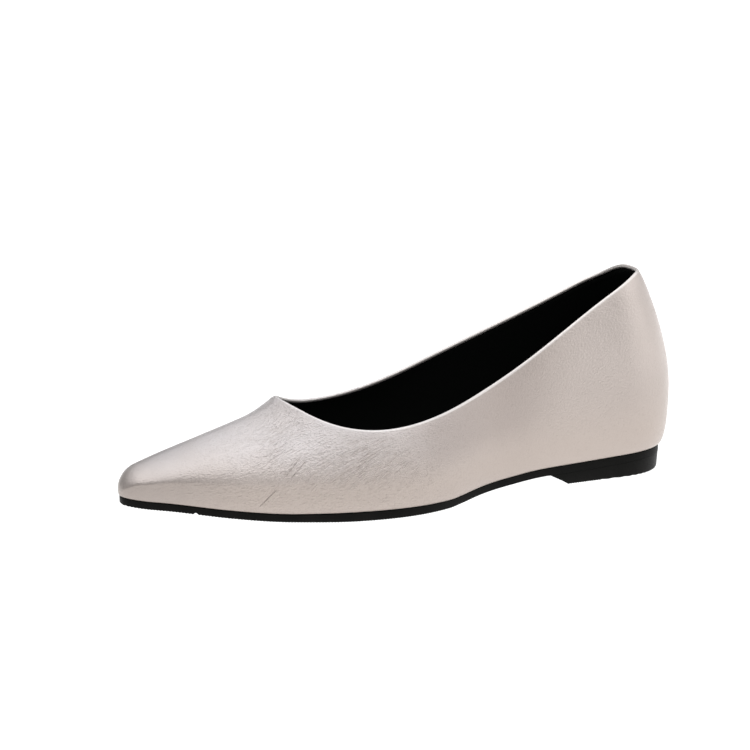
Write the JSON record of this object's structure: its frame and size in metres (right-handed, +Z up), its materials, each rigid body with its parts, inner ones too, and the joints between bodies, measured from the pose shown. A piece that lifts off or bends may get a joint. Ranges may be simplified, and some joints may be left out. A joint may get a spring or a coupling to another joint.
{
  "type": "pointed toe flat shoe",
  "caption": "Slip-on flat shoe with a pointed toe, low open collar that rises to the heel, pearl leather upper, black lining and a thin black rubber sole on a low heel.",
  "frame": {"origin": "on the floor under the middle of the shoe's box", "axes": "+Y towards the heel and -Y towards the toe, +X towards the outer side of the left foot, +Z up"},
  "size_m": [0.0788, 0.258, 0.0924],
  "materials": {
    "upper_leather": "pearl champagne, fine milled grain, satin",
    "footbed": "matte black",
    "sole_rubber": "matte black",
    "heel_rubber": "satin black"
  },
  "bodies": {
    "root": {"upper": "upper_leather", "insole": "footbed", "outsole": "sole_rubber", "heel_block": "heel_rubber"}
  },
  "joints": []
}
